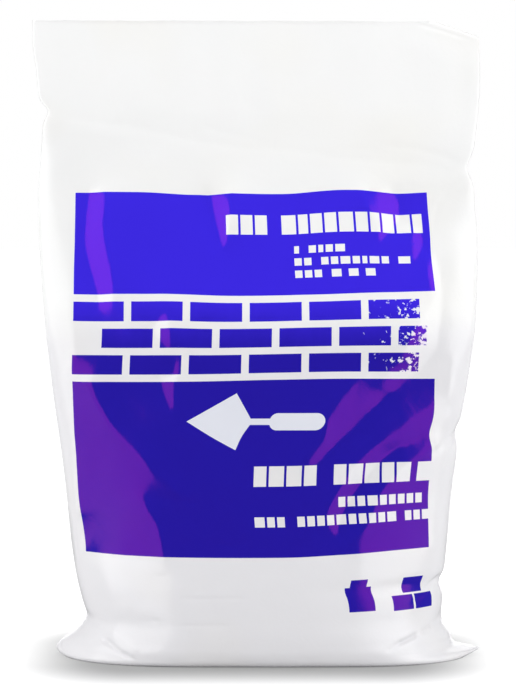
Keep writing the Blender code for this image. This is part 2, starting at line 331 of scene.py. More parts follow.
def facet_relief():
    """Height of the front film over its smooth shape. In a facet the wanted slope is the one that turns the
    smooth surface to the facet's direction, and elsewhere it is none. The height is the surface whose slopes
    come nearest to the wanted ones while it stays low, solved as a Fourier series on the mirrored sheet. Then
    each half is sheared so that it has no height beside its side fold, and the facets lie in the bag's
    outline."""
    u, v = np.meshgrid(*(np.arange(0.0, size + 0.1, RELIEF_STEP) for size in (FLAT_WIDTH, HEIGHT)))
    points = film_points(u, v, -1)
    up = np.gradient(points, axis=0) / RELIEF_STEP
    along = np.gradient(points, axis=1) / RELIEF_STEP
    normal = np.cross(along, up)
    normal /= np.maximum(np.linalg.norm(normal, axis=2, keepdims=True), 1e-9)
    slope_u, slope_v = np.zeros(u.shape), np.zeros(u.shape)
    for polygon, right, above in FACETS:
        right, above = math.radians(right), math.radians(above)
        level = math.cos(above)
        aim = np.array([math.sin(right) * level, -math.cos(right) * level, math.sin(above)])
        facing = np.maximum(normal @ aim, 0.3)
        within = inside(polygon, u, v)
        slope_u = np.where(within, -(along @ aim) / facing, slope_u)
        slope_v = np.where(within, -(up @ aim) / facing, slope_v)
    mirrored_u = np.block([[slope_u, -slope_u[:, ::-1]], [slope_u[::-1], -slope_u[::-1, ::-1]]])
    mirrored_v = np.block([[slope_v, slope_v[:, ::-1]], [-slope_v[::-1], -slope_v[::-1, ::-1]]])
    ku = 2 * np.pi * np.fft.fftfreq(mirrored_u.shape[1], RELIEF_STEP)[None, :]
    kv = 2 * np.pi * np.fft.fftfreq(mirrored_u.shape[0], RELIEF_STEP)[:, None]
    square = ku**2 + kv**2
    wave = -1j * (ku * np.fft.fft2(mirrored_u) + kv * np.fft.fft2(mirrored_v)) / (square + FACET_SPAN**-2)
    relief = np.fft.ifft2(wave * np.exp(-square * FACET_BLUR**2 / 2)).real[: u.shape[0], : u.shape[1]]
    beside = round(BESIDE_FOLD / RELIEF_STEP)
    left_half, right_half = np.clip(1 - 2 * u / FLAT_WIDTH, 0, 1), np.clip(2 * u / FLAT_WIDTH - 1, 0, 1)
    return relief - relief[:, beside : beside + 1] * left_half - relief[:, -beside - 1 : -beside] * right_half


# Creases pressed into the front: (points on the flat film, depth, half width). A negative depth is a ridge.
CREASES = (
    # the sloping crease under the flap, its swollen edge and its branches
    (((0, 269), (6, 266.6), (23, 263.6), (44, 261.7), (59, 258.3), (80, 253.9), (103, 250.9), (128, 249.7),
      (156, 245.6), (172, 244.6), (195, 243.2), (220, 239.3)), 0.15, 1.8),
    (((0, 267), (14, 262), (30, 259), (50, 256)), -0.15, 2.6),
    (((220, 241), (205, 247), (188, 251), (170, 252)), 0.2, 1.6),
    (((220, 238), (208, 231), (200, 222), (196, 212)), 0.3, 1.8),
    (((78, 262), (98, 257), (118, 252)), 0.12, 1.4),
    (((145, 251), (168, 249), (186, 247)), 0.12, 1.4),
    # the lip of the cut edge, and the line beside the folded corner
    (((-30, 314.2), (250, 314.2)), -0.3, 0.75),
    (((187, 314), (202, 309.4), (215, 305.4)), 0.6, 1.0),
    # upright swellings of the flap
    (((38, 292), (35, 270), (34, 258)), -0.22, 2.4),
    (((76, 270), (79, 258)), -0.2, 2.0),
    (((98, 290), (97, 256)), -0.2, 3.0),
    (((58, 247), (58, 240)), -0.2, 1.2),
    # buckles at the right fold
    (((219, 112), (206, 108), (196, 101)), 0.7, 1.6),
    (((218, 110), (209, 103), (203, 94)), 0.45, 1.4),
    (((216, 40), (208.5, 40.3), (197, 35), (186, 29.5)), 0.7, 1.5),
    # sharp creases of the two bottom corners, with the swollen film beside them
    (((28, 12.7), (35, 10.6), (43, 7.4), (52, 3.6)), 1.05, 0.95),
    (((30, 16.4), (38, 13.4), (48, 9.2), (55, 4.6)), -0.45, 1.6),
    (((2.5, 6.8), (6, 4.3), (9.5, 2.2)), 0.35, 0.8),
    (((173.5, 10.5), (189.0, 15.1)), 1.25, 0.92),
    (((175.0, 12.7), (189.0, 16.9)), -0.4, 1.2),
    (((189.6, 14.4), (201.0, 17.5)), 0.65, 0.85),
    (((168.5, 7.5), (175, 11.1)), 0.35, 1.4),
    # faint short ones over the powder and along the heel
    (((55, 22.9), (59, 23.1)), 0.25, 0.7),
    (((66, 21.0), (80, 21.4), (94, 21.5)), 0.22, 0.8),
    (((71, 34.2), (88, 34.6), (105, 34.6)), 0.22, 0.9),
    (((59, 44.9), (67, 45.1)), 0.2, 0.8),
    (((60, 83), (70, 82), (82, 80)), 0.2, 1.0),
    (((88, 62), (100, 59)), 0.2, 0.9),
    (((2, 22), (16, 19), (32, 21)), 0.4, 2.6),
    (((218, 23), (206, 18), (190, 15)), 0.35, 2.4),
)
# The back's own creases: under the flap, over the powder, at the buckled folds and in the bottom corners
BACK_CREASES = (
    (((0, 269), (40, 264), (90, 255), (140, 250), (190, 243.5), (220, 239.3)), 0.25, 2.0),
    (((2, 266), (30, 256), (55, 252)), 0.3, 2.2),
    (((218, 243), (196, 236), (172, 233)), 0.35, 2.2),
    (((60, 231), (100, 227), (150, 230)), 0.25, 2.4),
    (((2, 151), (20, 146), (36, 147)), 0.3, 2.0),
    (((218, 112), (200, 107), (182, 104)), 0.6, 1.8),
    (((216, 109), (205, 100), (197, 92)), 0.35, 2.4),
    (((217, 40), (200, 37), (180, 38)), 0.55, 1.8),
    (((70, 92), (95, 87), (120, 89)), 0.25, 2.2),
    (((118, 131), (134, 127), (152, 128)), 0.2, 2.2),
    (((30, 58), (52, 61), (70, 60)), 0.25, 2.0),
    (((20, 22), (60, 17), (118, 19)), 0.3, 1.7),
    (((128, 27), (168, 24), (202, 18)), 0.3, 1.7),
    (((26, 14), (38, 10), (50, 4)), 0.6, 2.0),
    (((170, 4), (182, 10), (195, 15)), 0.6, 2.0),
)


def crease_relief(u, v, creases):
    """Sum of the creases: each is a groove whose depth falls off as a bell of the distance to its line. It
    gets shallow and narrow at both ends, over the last fifth of its length."""
    height = np.zeros(u.shape)
    for line, depth, half_width in creases:
        stops = np.array(line, dtype=float)
        lengths = np.linalg.norm(np.diff(stops, axis=0), axis=1)
        run = np.concatenate([[0.0], np.cumsum(lengths)])
        nearest, place = np.full(u.shape, 1e9), np.zeros(u.shape)
        for start, end, length, before in zip(stops[:-1], stops[1:], lengths, run):
            way = (end - start) / length
            t = np.clip((u - start[0]) * way[0] + (v - start[1]) * way[1], 0, length)
            distance = np.hypot(u - start[0] - t * way[0], v - start[1] - t * way[1])
            closer = distance < nearest
            nearest, place = np.where(closer, distance, nearest), np.where(closer, before + t, place)
        share = place / run[-1]
        fade = (0.15 + 0.85 * ease(0.0, 0.2, share)) * (0.15 + 0.85 * ease(0.0, 0.2, 1 - share))
        height -= depth * fade * np.exp(-((nearest / (half_width * (0.5 + 0.5 * fade))) ** 2))
    return height


# The height up to which the film gets waves, and how widely their lengths vary round the wanted one
RIPPLES_TO = 340.0
RIPPLE_SPREAD = 0.18


def ripples(seed, across, upwards, height):
    """Random smooth waves on the whole tube, one step of RELIEF_STEP apart: white noise whose waves are
    weighted by a bell round the wanted wavelengths across and up the film, scaled to the root mean square
    height."""
    columns, count = round(2 * FLAT_WIDTH / RELIEF_STEP), round(RIPPLES_TO / RELIEF_STEP)
    noise = np.random.default_rng(seed).standard_normal((count, columns))
    ku = np.abs(np.fft.fftfreq(columns, RELIEF_STEP))[None, :] * across
    kv = np.abs(np.fft.fftfreq(count, RELIEF_STEP))[:, None] * upwards
    weight = np.exp(-((np.hypot(ku, kv) - 1) ** 2) / RIPPLE_SPREAD)
    field = np.fft.ifft2(np.fft.fft2(noise) * weight).real
    field *= height / field.std()
    return np.concatenate([field, field[:, :1]], axis=1)


def sample(grid, x, y):
    """The grid's value at places given in millimetres, linear between its points."""
    x = np.clip(x / RELIEF_STEP, 0, grid.shape[1] - 1.001)
    y = np.clip(y / RELIEF_STEP, 0, grid.shape[0] - 1.001)
    i, j = x.astype(int), y.astype(int)
    fx, fy = x - i, y - j
    low = (1 - fx) * grid[j, i] + fx * grid[j, i + 1]
    high = (1 - fx) * grid[j + 1, i] + fx * grid[j + 1, i + 1]
    return (1 - fy) * low + fy * high


def at_rows(u, v, side):
    """Points at film positions whose rows aren't level: found on level rows, then linear between those."""
    level = film_points(u, ROWS[:, None] + 0 * u, side)
    k = np.clip(np.searchsorted(ROWS, v, side="right") - 1, 0, len(ROWS) - 2)
    t = ((v - ROWS[k]) / (ROWS[k + 1] - ROWS[k]))[..., None]
    column = np.arange(u.shape[1])[None, :]
    return (1 - t) * level[k, column] + t * level[k + 1, column]


# The skin is one closed ring of film for each row: the front from left to right, then the back from right to
# left. girth_place is the place round the tube, from 0 at the left fold to 440 mm back at it.
LAST_FRONT = len(FRONT_U) - 1
u_front, v_front = settled(*np.meshgrid(FRONT_U, ROWS))
u_back, v_back = np.meshgrid(BACK_U[-2:0:-1], ROWS)
smooth = np.concatenate([at_rows(u_front, v_front, -1), film_points(u_back, v_back, 1)], axis=1)
centre = (smooth[..., :2].min(axis=(0, 1)) + smooth[..., :2].max(axis=(0, 1))) / 2
smooth[..., :2] -= centre
girth_place = np.concatenate([u_front, 2 * FLAT_WIDTH - u_back], axis=1)
row_height = np.concatenate([v_front, v_back], axis=1)

# Broad dents over the powder, small ones between them, fine ones everywhere and upright waves in the empty
# flap, all of them calmer beside a fold: (seed, wavelength across, wavelength up, height, where they are)
past_fold = girth_place % FLAT_WIDTH
calm = 0.25 + 0.75 * ease(0.0, 10.0, np.minimum(past_fold, FLAT_WIDTH - past_fold))
over_powder = 1 - ease(235.0, 262.0, row_height)
in_flap = ease(250.0, 275.0, row_height)
WAVES = (
    (11, 44.0, 52.0, 0.18, over_powder),
    (12, 16.0, 20.0, 0.025, over_powder),
    (13, 7.0, 8.0, 0.006, 1.0),
    (14, 26.0, 110.0, 0.22, in_flap),
)
rise = sum(sample(ripples(*wave), girth_place, row_height) * where for *wave, where in WAVES)
rise *= calm * ease(-4.0, 8.0, row_height)
rise[:, : LAST_FRONT + 1] += crease_relief(u_front, v_front, CREASES)
rise[:, LAST_FRONT + 1 :] += crease_relief(u_back, v_back, BACK_CREASES)
soft_edge = ease(0.0, FOLD_FADE, u_front) * ease(0.0, FOLD_FADE, FLAT_WIDTH - u_front)
rise[:, : LAST_FRONT + 1] += sample(facet_relief(), u_front, v_front) * soft_edge


def normals_of(points):
    """Unit normals of the ring grid: the cross product of the step round the bag and the step up it."""
    round_it = np.roll(points, -1, axis=1) - np.roll(points, 1, axis=1)
    up = np.gradient(points, axis=0)
    normal = np.cross(round_it, up)
    return normal / np.maximum(np.linalg.norm(normal, axis=2, keepdims=True), 1e-9)


# Only the heel's own ring touches the floor
ABOVE_FLOOR = 0.02
skin = smooth + normals_of(smooth) * rise[..., None]
skin[..., 2] = np.where(row_height <= 0, 0.0, np.maximum(skin[..., 2], ABOVE_FLOOR))

# Lining: the inside of the two plies, seen through the open mouth, down to just above the powder. In the
# folded corner it has every row of the skin, so that it lies evenly inside it, and below that every fourth.
LINING_GAP = 0.2
LINING_ROWS = len(ROWS) - 1 - np.concatenate([np.arange(20), np.arange(23, 40, 4)])
lining = (skin - normals_of(skin) * LINING_GAP)[LINING_ROWS]

# The right corner of the mouth is folded over to the back. The line of the fold is given by two (x, height).
# The plies are pressed together over the last 16 mm before it, to this half depth, and bend round this inner
# radius. Only film to the right of CORNER_RIGHT_OF and above CORNER_ABOVE is folded.
CORNER_LINE = ((84.5, 313.8), (110.8, 305.0))
PRESSED_FROM, HALF_PRESSED, INNER_BEND = 16.0, 0.65, 0.55
CORNER_RIGHT_OF, CORNER_ABOVE = 60.0, 270.0


def flap_middle(x, z):
    """How far back the flap's middle layer lies: half the mouth's depth behind the tilted front line."""
    return MOUTH_DEPTH / 2 - smooth_through(FRONT_LINE, z + TILT * x / (FLAT_WIDTH / 2)) - centre[1]


def fold_corner(points):
    """Bends the flap round the corner line like a strip round a rod: a point's distance past the line becomes
    an angle, up to half a turn, and beyond that it runs straight back down behind the flap."""
    x, y, z = points[..., 0], points[..., 1], points[..., 2]
    (x0, z0), (x1, z1) = CORNER_LINE
    length = math.hypot(x1 - x0, z1 - z0)
    out_x, out_z = (z0 - z1) / length, (x1 - x0) / length
    past = (x - x0) * out_x + (z - z0) * out_z
    pressed = 1 - (1 - 2 * HALF_PRESSED / MOUTH_DEPTH) * ease(-PRESSED_FROM, 0.0, past)
    offset = (flap_middle(x, z) - y) * pressed
    bend = INNER_BEND + HALF_PRESSED
    angle = np.clip(past / bend, 0, np.pi)
    beyond = np.maximum(past - np.pi * bend, 0)
    new_past = np.where(past > 0, (bend + offset) * np.sin(angle) - beyond, past)
    new_offset = np.where(past > 0, (bend + offset) * np.cos(angle) - bend, offset)
    new_x = x + (new_past - past) * out_x
    new_z = z + (new_past - past) * out_z
    folded = np.stack([new_x, flap_middle(new_x, new_z) - new_offset, new_z], axis=-1)
    near = (past > -PRESSED_FROM) & (z > CORNER_ABOVE) & (x > CORNER_RIGHT_OF)
    return np.where(near[..., None], folded, points)


skin_folded, lining = fold_corner(skin), fold_corner(lining)

# Bottom: both plies run in from the heel to the weld, which ends in a fin that lies folded under the bag. The
# weld stops a little short of the ears' tips, and the film between it and the heel is lifted and puckered.
FIN = 5.0
WELD_INSET = 1.5
BOTTOM_LIFT = 0.9
PUCKER = 0.35
BOTTOM_RINGS = 12
FIN_GAP, FIN_THICK = 0.1, 0.3
heel = skin_folded[0]
ring = heel.shape[0]
is_back = np.arange(ring) > LAST_FRONT
ring_share = np.where(is_back, 2 * FLAT_WIDTH - girth_place[0], girth_place[0]) / FLAT_WIDTH
weld = np.zeros((ring, 3))
weld[:, 0] = heel[0, 0] + WELD_INSET + (heel[LAST_FRONT, 0] - heel[0, 0] - 2 * WELD_INSET) * ring_share
weld[:, 1] = (smooth[0, 0, 1] + smooth[0, LAST_FRONT, 1]) / 2
weld[:, 2] = BOTTOM_LIFT
inwards = np.linspace(1.0, 0.0, BOTTOM_RINGS + 1)[:-1, None]
bottom = heel + (weld - heel) * inwards[..., None]
arch = PUCKER * np.sin(np.pi * inwards) ** 2
pucker = np.sin(ring_share * 61.0) * np.sin(ring_share * 23.0 + 1.0) * ease(0.0, 0.5, inwards)
bottom[..., 2] = BOTTOM_LIFT * ease(0.0, 0.4, inwards) + arch * (1 + pucker)
back_ply = is_back * ease(0.0, 0.03, ring_share) * ease(0.0, 0.03, 1 - ring_share)
fin_edge, fin_root = weld.copy(), weld.copy()
fin_edge[:, 1] += FIN
fin_root[:, 1] += FIN_THICK * back_ply
fin_edge[:, 2] = fin_root[:, 2] = FIN_GAP + FIN_THICK * back_ply

# All rings from the fin's edge to the bottom of the lining, with the flat film's millimetres for each: below
# the heel they count down to the fin, and past the mouth they go on up
SKIN_START = 2 + BOTTOM_RINGS
WELD_V, FIN_ROOT_V = -42.0, -45.0
grid = np.concatenate([fin_edge[None], fin_root[None], bottom, skin_folded, lining])
count = grid.shape[0]
level_ring = np.zeros((1, ring))
film_v = np.concatenate(
    [
        level_ring + FIN_ROOT_V - FIN,
        level_ring + FIN_ROOT_V,
        level_ring + WELD_V * inwards,
        row_height,
        level_ring + (2 * HEIGHT - ROWS[LINING_ROWS])[:, None],
    ]
)
below_heel = np.repeat(girth_place[:1], SKIN_START, axis=0)
film_u = np.concatenate([below_heel, girth_place, girth_place[LINING_ROWS]])


def wall_faces(rows, ring):
    """Quads between the rows of a grid whose rows are closed rings."""
    start, i = np.meshgrid(np.arange(rows - 1) * ring, np.arange(ring), indexing="ij")
    here, after = start + i, start + (i + 1) % ring
    return np.stack([here, after, after + ring, here + ring], axis=-1).reshape(-1, 4)


def closing_faces(start, turned):
    """Triangles that join the front half of a ring, left to right, to its back half, with fewer points."""
    front = np.arange(LAST_FRONT + 1)
    back = np.concatenate([[0], np.arange(ring - 1, LAST_FRONT - 1, -1)])
    partner = np.clip(np.round(front * (len(back) - 1) / LAST_FRONT).astype(int), 1, len(back) - 2)
    first = np.stack([front[1:], front[:-1], back[partner[:-1]]], axis=-1)
    steps = partner[1:-1] > partner[:-2]
    second = np.stack([front[1:-1], back[partner[:-2]], back[partner[1:-1]]], axis=-1)[steps]
    faces = np.concatenate([first, second]) + start
    return faces[:, ::-1] if turned else faces


def add_object(name, data):
    """Puts a mesh, a light or a camera into the scene as an object at the origin."""
    item = bpy.data.objects.new(name, data)
    bpy.context.scene.collection.objects.link(item)
    return item


quads = wall_faces(count, ring)
triangles = np.concatenate([closing_faces(0, False), closing_faces((count - 1) * ring, True)])
mesh = bpy.data.meshes.new("film_bag")
mesh.from_pydata((grid.reshape(-1, 3) * MM).tolist(), [], quads.tolist() + triangles.tolist())
mesh.shade_smooth()

# The film's cut edge round the mouth is sharp
rim = (SKIN_START + len(ROWS) - 1) * ring
ends = np.empty(2 * len(mesh.edges), dtype=np.int32)
mesh.edges.foreach_get("vertices", ends)
on_rim = ((ends >= rim) & (ends < rim + ring)).reshape(-1, 2).all(axis=1)
mesh.attributes.new("sharp_edge", "BOOLEAN", "EDGE").data.foreach_set("value", on_rim)
bag = add_object("film_bag", mesh)

# The UV map is the film slit down its left fold and laid flat, 440 mm wide, with the heel 60 mm up
HEEL_UP = 60.0
corners = np.concatenate([quads.reshape(-1), triangles.reshape(-1)])
film_uv = np.stack([film_u.reshape(-1)[corners], film_v.reshape(-1)[corners] + HEEL_UP], axis=-1)
column = np.arange(quads.shape[0]) % ring
last = np.repeat(column == ring - 1, 4)
wrapped = np.tile([False, True, True, False], quads.shape[0]) & last
film_uv[: quads.size][wrapped, 0] = 2 * FLAT_WIDTH
layer = mesh.uv_layers.new(name="flat_film")
layer.uv.foreach_set("vector", (film_uv / (2 * FLAT_WIDTH)).reshape(-1))

# The print, one blue ink laid on by flexography before the tube was filled: two panels with bare courses of
# blocks in them, a brick wall between the panels, and a small weight and three bricks under them. It is a
# plain builder's pattern. Each list is (left, base, block height, gap, widths) in millimetres of flat film.
JOINT, MORTAR = 1.2, 3.6
BRICK, BRICK_HEIGHT = 25.2, 9.1
BARE_COURSES = (
    (93.6, 209.3, 9.4, JOINT, (6.0, 6.0, 6.0, -4.8, 7.2, 4.8, 6.0, 6.0, 7.2, 6.0, 4.8, 6.0, 7.2, 4.8)),
    (127.2, 199.3, 3.5, JOINT, (2.4, -2.4, 3.6, 2.4, 3.6, 4.8)),
    (127.2, 193.5, 3.5, JOINT, (3.6, 3.6, -2.4, 3.6, 3.6, 4.8, 3.6, 2.4, 4.8, 3.6, -2.4, 6.0)),
    (127.2, 187.6, 3.5, JOINT, (3.6, 3.6, 3.6, -2.4, 4.8, -1.2, 4.8, -1.2, 4.8)),
    (108.4, 88.6, 9.6, JOINT, (6.0, 7.2, 7.2, 6.0, -6.0, 6.0, 7.2, 7.2, 6.0, 7.2, -1.2, 7.2, 6.0)),
    (149.2, 77.8, 4.8, JOINT, (*(3.6,) * 3, 4.8, *(3.6,) * 5)),
    (108.4, 69.4, 4.8, JOINT, (4.8, 3.6, 3.6, -3.6, *(3.6,) * 4, 4.8, *(3.6,) * 4, 4.8, -2.4, *(3.6,) * 3)),
)
WALL_COURSES = (
    (PRINT_LEFT, 142.4, BRICK_HEIGHT, MORTAR, (BRICK,) * 6),
    (PRINT_LEFT + 14.4, 154.9, BRICK_HEIGHT, MORTAR, (*(BRICK,) * 5, 14.4)),
    (PRINT_LEFT, 167.4, BRICK_HEIGHT, MORTAR, (BRICK,) * 6),
)
INK_COURSES = (
    (151.6, 27.0, 12.0, JOINT, (13.2,)),
    (154.0, 39.0, 3.5, JOINT, (8.4,)),
    (174.4, 26.0, 7.4, JOINT, (12.0, 12.0)),
    (181.6, 34.6, 7.4, JOINT, (12.0,)),
)


def course(u, v, left, base, height, gap, widths):
    """True on a row of blocks: each width is a block with a gap after it, and a negative width is a space."""
    on = np.zeros(np.broadcast(u, v).shape, dtype=bool)
    for width in widths:
        if width > 0:
            on |= (u > left) & (u < left + width)
        left += abs(width) + gap
    return on & (v > base) & (v < base + height)


u_mid, v_mid = np.meshgrid((FRONT_U[:-1] + FRONT_U[1:]) / 2, (ROWS[:-1] + ROWS[1:]) / 2)
printed = np.zeros(u_mid.shape, dtype=bool)
for panel_base, panel_top in (LOWER_PANEL, UPPER_PANEL):
    printed |= (v_mid > panel_base) & (v_mid < panel_top)
for bare in BARE_COURSES:
    printed &= ~course(u_mid, v_mid, *bare)
for bricks in WALL_COURSES:
    printed |= course(u_mid, v_mid, *bricks)
printed &= (u_mid > PRINT_LEFT) & (u_mid < PRINT_RIGHT)
for mark in INK_COURSES:
    printed |= course(u_mid, v_mid, *mark)
slots = np.zeros((count - 1, ring), dtype=np.int32)
slots[SKIN_START : SKIN_START + len(ROWS) - 1, :LAST_FRONT] = printed
closing_slots = np.zeros(len(triangles), dtype=np.int32)
mesh.polygons.foreach_set("material_index", np.concatenate([slots.reshape(-1), closing_slots]))


def linear(colour):
    """An sRGB hex colour such as "#8C8A84" as the linear RGBA that shaders take."""
    parts = [int(colour[i : i + 2], 16) / 255 for i in (1, 3, 5)]
    return (*(c / 12.92 if c <= 0.04045 else ((c + 0.055) / 1.055) ** 2.4 for c in parts), 1.0)


def add_node(tree, kind, settings=None, links=None):
    """Adds one node. A setting is one of its sockets, by name or number, or one of its properties. A link
    feeds a socket from another node's output, or from its first output if the node itself is given."""
    node = tree.nodes.new(kind)
    for name, value in (settings or {}).items():
        if isinstance(name, str) and name not in node.inputs:
            setattr(node, name, value)
    for name, value in (settings or {}).items():
        if not isinstance(name, str) or name in node.inputs:
            node.inputs[name].default_value = value
    for name, source in (links or {}).items():
        tree.links.new(source.outputs[0] if isinstance(source, bpy.types.Node) else source, node.inputs[name])
    return node


def new_material(name):
    """An empty node material with its output node."""
    material = bpy.data.materials.new(name)
    material.use_nodes = True
    material.node_tree.nodes.clear()
    return material, material.node_tree, material.node_tree.nodes.new("ShaderNodeOutputMaterial")


# Low-density polyethylene blown with titanium white: opaque and glossy, with the soft wrinkles of handled
# film. The real wrinkles are 2 to 6 mm apart. Low on the bag the film is painted a little duller, partly for
# the grey powder pressed behind the thin film and partly as painted shade, since the lower part stands
# upright and gets less of the top light. Here and there it has a faint warm tint painted in, a painted
# reflection of warm light.
film, tree, output = new_material("white_polyethylene_film")


def flat_film(tree):
    """The flat film's millimetres, from the UV map: across from the left fold, and up from the heel."""
    sheet = add_node(tree, "ShaderNodeUVMap", {"uv_map": "flat_film"})
    to_mm = {"Location": (0.0, -HEEL_UP, 0.0), "Scale": (2 * FLAT_WIDTH,) * 3}
    return add_node(tree, "ShaderNodeMapping", to_mm, {"Vector": sheet})


def film_wrinkles(tree, film_mm):
    """Bump of handled film: bent wrinkles 5 mm apart, and the fine unevenness of the blown surface."""
    bent = add_node(
        tree,
        "ShaderNodeTexNoise",
        {"Scale": 0.2, "Detail": 2.5, "Roughness": 0.55, "Distortion": 1.4},
        {"Vector": film_mm},
    )
    first = add_node(tree, "ShaderNodeBump", {"Distance": 0.00005}, {"Height": bent.outputs["Fac"]})
    fine = add_node(tree, "ShaderNodeTexNoise", {"Scale": 0.9, "Detail": 2.0}, {"Vector": film_mm})
    return add_node(
        tree, "ShaderNodeBump", {"Distance": 0.000008}, {"Height": fine.outputs["Fac"], "Normal": first}
    )


film_mm = flat_film(tree)
axes = add_node(tree, "ShaderNodeSeparateXYZ", {}, {0: film_mm})
clouds = add_node(tree, "ShaderNodeTexNoise", {"Scale": 0.03, "Detail": 3.0}, {"Vector": film_mm})
edge = add_node(
    tree,
    "ShaderNodeMath",
    {"operation": "MULTIPLY_ADD", 1: 22.0},
    {0: clouds.outputs["Fac"], 2: axes.outputs["Y"]},
)
# Duller below a ragged line half way up: partly the powder behind the film, partly painted shade for the
# upright lower part
backed_and_shaded = add_node(
    tree,
    "ShaderNodeMapRange",
    {"interpolation_type": "SMOOTHSTEP", "From Min": 187.0, "From Max": 164.0},
    {"Value": edge},
)
colour = add_node(
    tree,
    "ShaderNodeMix",
    {"data_type": "RGBA", 6: linear("#F4F4F3"), 7: linear("#EDECEE")},
    {0: backed_and_shaded.outputs[0]},
)
# Faint warm patches at random: a painted reflection of warm light
warm = add_node(tree, "ShaderNodeTexNoise", {"Scale": 0.018, "Detail": 1.0}, {"Vector": film_mm})
painted_warm_tint = add_node(
    tree,
    "ShaderNodeMapRange",
    {"From Min": 0.52, "From Max": 0.75, "To Max": 0.2},
    {"Value": warm.outputs["Fac"]},
)
colour = add_node(
    tree,
    "ShaderNodeMix",
    {"data_type": "RGBA", 7: linear("#F1EDE0")},
    {0: painted_warm_tint.outputs[0], 6: colour.outputs[2]},
)
rubbed = add_node(
    tree,
    "ShaderNodeMapRange",
    {"From Min": 0.3, "From Max": 0.7, "To Min": 0.18, "To Max": 0.25},
    {"Value": clouds.outputs["Fac"]},
)
shader = add_node(
    tree,
    "ShaderNodeBsdfPrincipled",
    {"IOR": 1.51},
    {"Base Color": colour.outputs[2], "Roughness": rubbed.outputs[0], "Normal": film_wrinkles(tree, film_mm)},
)
tree.links.new(shader.outputs[0], output.inputs["Surface"])

# Flexographic blue ink, a thin glossy coat that keeps the film's wrinkles. Its dye bronzes: it mirrors red
# far more than green, so light that glances off a crease looks purple. On the upper panel the blue is painted
# lighter, a painted highlight for the top light that the upper part, leaning back, catches more of. A bare
# trowel shape is left in the lower panel, and the right end of the wall is worn away in crumbs.
ink, tree, output = new_material("blue_flexo_ink_on_polyethylene")
film_mm = flat_film(tree)
axes = add_node(tree, "ShaderNodeSeparateXYZ", {}, {0: film_mm})
crumbs = add_node(
    tree, "ShaderNodeTexNoise", {"Scale": 0.34, "Detail": 5.0, "Roughness": 0.62}, {"Vector": film_mm}
)
wear = add_node(
    tree,
    "ShaderNodeMapRange",
    {"From Min": 168.0, "From Max": 197.0, "To Max": 0.17},
    {"Value": axes.outputs["X"]},
)

# The trowel lies level: the places of its blade's tip, shoulders and heel and the blade's half width, then
# the middle, half length and radius of its neck and of its handle
TROWEL_AXIS = 119.3
TIP, SHOULDERS, BLADE_HEEL, BLADE_HALF = 75.0, 99.0, 107.0, 13.6
NECK, NECK_HALF, NECK_RADIUS = 110.5, 5.5, 1.5
HANDLE, HANDLE_HALF, HANDLE_RADIUS = 129.0, 9.5, 4.1
WIDENING = BLADE_HALF / (SHOULDERS - TIP)
NARROWING = BLADE_HALF / (BLADE_HEEL - SHOULDERS)
# To the right of WORN_FROM, the wall's ink is gone where the noise of its crumbs passes WORN_ABOVE
WORN_FROM, WORN_ABOVE = 160.0, 0.64
WALL_MIDDLE, WALL_HALF = 159.5, 20.0
# What the ink leaves bare, as steps of (result, operation, operands that are numbers or earlier results)
BARE_STEPS = (
    ("above_axis", "SUBTRACT", "v", TROWEL_AXIS),
    ("off_axis", "ABSOLUTE", "above_axis"),
    ("front_edge", "MULTIPLY_ADD", "u", WIDENING, -WIDENING * TIP),
    ("rear_edge", "MULTIPLY_ADD", "u", -NARROWING, NARROWING * BLADE_HEEL),
    ("blade_edge", "MINIMUM", "front_edge", "rear_edge"),
    ("blade", "GREATER_THAN", "blade_edge", "off_axis"),
    ("along_neck", "COMPARE", "u", NECK, NECK_HALF),
    ("in_neck", "LESS_THAN", "off_axis", NECK_RADIUS),
    ("neck", "MULTIPLY", "along_neck", "in_neck"),
    ("along_handle", "SUBTRACT", "u", HANDLE),
    ("from_handle", "ABSOLUTE", "along_handle"),
    ("past_half", "SUBTRACT", "from_handle", HANDLE_HALF),
    ("past_end", "MAXIMUM", "past_half", 0.0),
    ("off_square", "MULTIPLY", "off_axis", "off_axis"),
    ("handle_square", "MULTIPLY_ADD", "past_end", "past_end", "off_square"),
    ("handle", "LESS_THAN", "handle_square", HANDLE_RADIUS**2),
    ("blade_and_neck", "MAXIMUM", "blade", "neck"),
    ("trowel", "MAXIMUM", "blade_and_neck", "handle"),
    ("rubbed_off", "ADD", "crumbs", "wear"),
    ("gone", "GREATER_THAN", "rubbed_off", WORN_ABOVE),
    ("in_wall", "COMPARE", "v", WALL_MIDDLE, WALL_HALF),
    ("gone_in_wall", "MULTIPLY", "gone", "in_wall"),
    ("at_right", "GREATER_THAN", "u", WORN_FROM),
    ("worn", "MULTIPLY", "gone_in_wall", "at_right"),
    ("bare", "MAXIMUM", "trowel", "worn"),
)
results = {"u": axes.outputs["X"], "v": axes.outputs["Y"], "crumbs": crumbs.outputs["Fac"], "wear": wear}
for result, operation, *operands in BARE_STEPS:
    numbers = {socket: number for socket, number in enumerate(operands) if not isinstance(number, str)}
    sources = {socket: results[name] for socket, name in enumerate(operands) if isinstance(name, str)}
    results[result] = add_node(tree, "ShaderNodeMath", {"operation": operation, **numbers}, sources)

density = add_node(
    tree, "ShaderNodeTexNoise", {"Scale": 0.05, "Detail": 4.0, "Roughness": 0.6}, {"Vector": film_mm}
)
